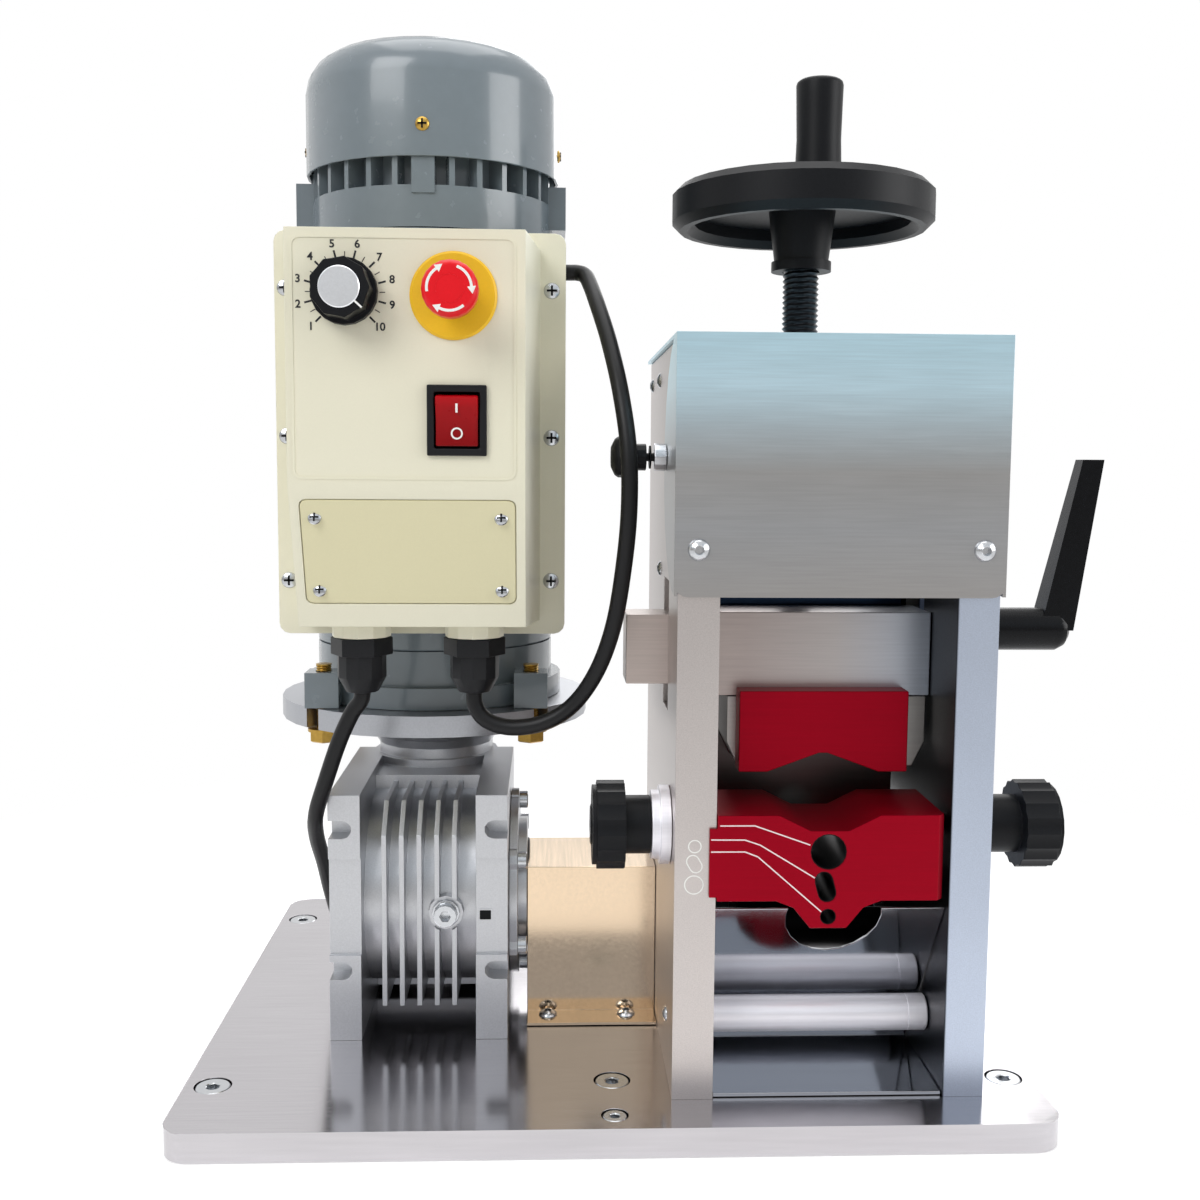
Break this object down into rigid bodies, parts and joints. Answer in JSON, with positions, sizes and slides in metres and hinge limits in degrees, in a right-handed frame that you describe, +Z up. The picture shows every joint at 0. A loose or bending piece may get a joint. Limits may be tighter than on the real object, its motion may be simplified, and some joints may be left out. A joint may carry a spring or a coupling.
{
  "type": "wire stripping machine",
  "caption": "Bench wire stripping machine: guide block with holes, disc blade over a knurled driven roller, handwheel feed, worm gearmotor and control box on a base plate.",
  "frame": {"origin": "centre of the base plate's flat underside", "axes": "+Z up along the motor's axis, +Y from the front (wire entry) to the back, +X along the drive shaft from the gearbox to the cutting head"},
  "size_m": [0.417, 0.5007, 0.5011],
  "materials": {
    "plate_steel": "fine brushed, machined edges",
    "cover_steel": "folded sheet with a vertical brushed grain",
    "mirror_steel": "mirror polished sheet",
    "red_anodised": "satin red anodised",
    "black_plastic": "satin moulded",
    "turned_steel": "turned, bright",
    "dark_steel": "blackened",
    "cast_alloy": "die cast, fine grain",
    "wheel_bronze": "machined",
    "guard_steel": "polished folded sheet",
    "zinc_bolt": "yellow zinc plated",
    "motor_paint": "gloss blue-grey",
    "winding": "varnished winding and laminations",
    "fan_plastic": "moulded",
    "box_plastic": "smooth moulded ivory",
    "access_plastic": "smooth moulded cream",
    "yellow_plastic": "moulded",
    "button_red": "moulded",
    "stem_plastic": "moulded",
    "rocker_red": "clear red moulded",
    "cord_black": "smooth sheath"
  },
  "bodies": {
    "frame": {"base_plate": "plate_steel", "left_side_plate": "plate_steel", "right_side_plate": "plate_steel", "top_block": "plate_steel", "top_cover": "cover_steel", "tie_bar": "plate_steel", "mirror_sheet": "mirror_steel", "lower_guide": "red_anodised", "guide_collar": "turned_steel", "plunger_bush": "turned_steel", "gearbox_case": "cast_alloy", "gearbox_cover": "cast_alloy", "oil_plug": "dark_steel", "left_shaft_bearing": "turned_steel", "right_shaft_bearing": "turned_steel", "coupling_guard": "guard_steel", "input_flange": "motor_paint", "flange_bolt_1": "zinc_bolt", "flange_bolt_2": "zinc_bolt", "flange_bolt_3": "zinc_bolt", "flange_bolt_4": "zinc_bolt", "motor_end_shield": "motor_paint", "motor_barrel": "motor_paint", "stator": "winding", "motor_top_shield": "motor_paint", "fan_cover": "motor_paint", "box_base": "box_plastic", "box_cover": "box_plastic", "access_plate": "access_plastic", "estop_ring": "yellow_plastic", "switch_frame": "stem_plastic", "left_gland": "stem_plastic", "right_gland": "stem_plastic", "motor_lead": "cord_black", "mains_cord_run": "cord_black", "mains_cord_coil": "cord_black", "mains_plug": "cord_black"},
    "left_knob": {"left_guide_knob": "black_plastic"},
    "right_knob": {"right_guide_knob": "black_plastic"},
    "carriage": {"carriage_bar": "plate_steel", "blade_holder": "plate_steel", "upper_guide": "red_anodised", "blade_axle": "turned_steel"},
    "blade": {"cutting_blade": "turned_steel"},
    "handwheel": {"spindle": "turned_steel", "handwheel": "black_plastic", "handle_axle": "turned_steel"},
    "grip": {"handle_grip": "black_plastic"},
    "clamp_stud": {"clamp_stud": "turned_steel"},
    "clamp_lever": {"clamp_lever": "black_plastic"},
    "plunger": {"plunger_knob": "black_plastic"},
    "rotor": {"rotor_and_worm": "turned_steel", "cooling_fan": "fan_plastic"},
    "drive": {"worm_wheel": "wheel_bronze", "drive_shaft": "turned_steel", "feed_roller": "turned_steel"},
    "dial": {"speed_knob": "black_plastic"},
    "stop_stem": {"estop_stem": "stem_plastic"},
    "stop_head": {"estop_head": "button_red"},
    "rocker": {"switch_rocker": "rocker_red"}
  },
  "joints": [
    {"name": "motor_turn", "type": "hinge", "parent": "frame", "child": "rotor", "pos_m": [-0.091, 0.0484, 0.3], "axis": [0, 0, 1], "continuous": true},
    {"name": "feed_turn", "type": "hinge", "parent": "frame", "child": "drive", "pos_m": [0.0917, -0.0016, 0.0727], "axis": [1, 0, 0], "continuous": true},
    {"name": "handwheel_turn", "type": "hinge", "parent": "carriage", "child": "handwheel", "pos_m": [0.0917, -0.0316, 0.39], "axis": [0, 0, 1], "range_deg": [-1720, 2150]},
    {"name": "carriage_slide", "type": "slide", "parent": "frame", "child": "carriage", "axis": [0, 0, 1], "range_m": [-0.012, 0.015]},
    {"name": "handle_spin", "type": "hinge", "parent": "handwheel", "child": "grip", "pos_m": [0.1077, 0.0134, 0.45], "axis": [0, 0, 1], "continuous": true},
    {"name": "blade_spin", "type": "hinge", "parent": "carriage", "child": "blade", "pos_m": [0.0917, -0.0016, 0.1367], "axis": [1, 0, 0], "continuous": true},
    {"name": "clamp_turn", "type": "hinge", "parent": "carriage", "child": "clamp_stud", "pos_m": [0.155, -0.07, 0.2137], "axis": [1, 0, 0], "range_deg": [-90, 90]},
    {"name": "clamp_pull", "type": "slide", "parent": "clamp_stud", "child": "clamp_lever", "axis": [1, 0, 0], "range_m": [0, 0.004], "stiffness_N_per_m": 1500},
    {"name": "left_knob_turn", "type": "hinge", "parent": "frame", "child": "left_knob", "pos_m": [0.02, -0.1, 0.1288], "axis": [1, 0, 0], "range_deg": [0, 720]},
    {"name": "right_knob_turn", "type": "hinge", "parent": "frame", "child": "right_knob", "pos_m": [0.17, -0.1, 0.1288], "axis": [1, 0, 0], "range_deg": [0, 720]},
    {"name": "plunger_pull", "type": "slide", "parent": "frame", "child": "plunger", "axis": [-1, 0, 0], "range_m": [0, 0.006], "stiffness_N_per_m": 1200},
    {"name": "speed_turn", "type": "hinge", "parent": "frame", "child": "dial", "pos_m": [-0.114, -0.119, 0.3591], "axis": [0, -1, 0], "range_deg": [0, 270]},
    {"name": "estop_push", "type": "slide", "parent": "frame", "child": "stop_stem", "axis": [0, 1, 0], "range_m": [0, 0.004], "stiffness_N_per_m": 1500},
    {"name": "estop_twist", "type": "hinge", "parent": "stop_stem", "child": "stop_head", "pos_m": [-0.0692, -0.119, 0.358], "axis": [0, 1, 0], "range_deg": [0, 45], "stiffness_Nm_per_rad": 0.05},
    {"name": "rocker_tip", "type": "hinge", "parent": "frame", "child": "rocker", "pos_m": [-0.068, -0.11905, 0.3067], "axis": [1, 0, 0], "range_deg": [-18, 0]}
  ],
  "couplings": [
    {"joint": "feed_turn", "follows": "motor_turn", "ratio": 0.033333},
    {"joint": "carriage_slide", "follows": "handwheel_turn", "m_per_rad": 0.00039789}
  ]
}
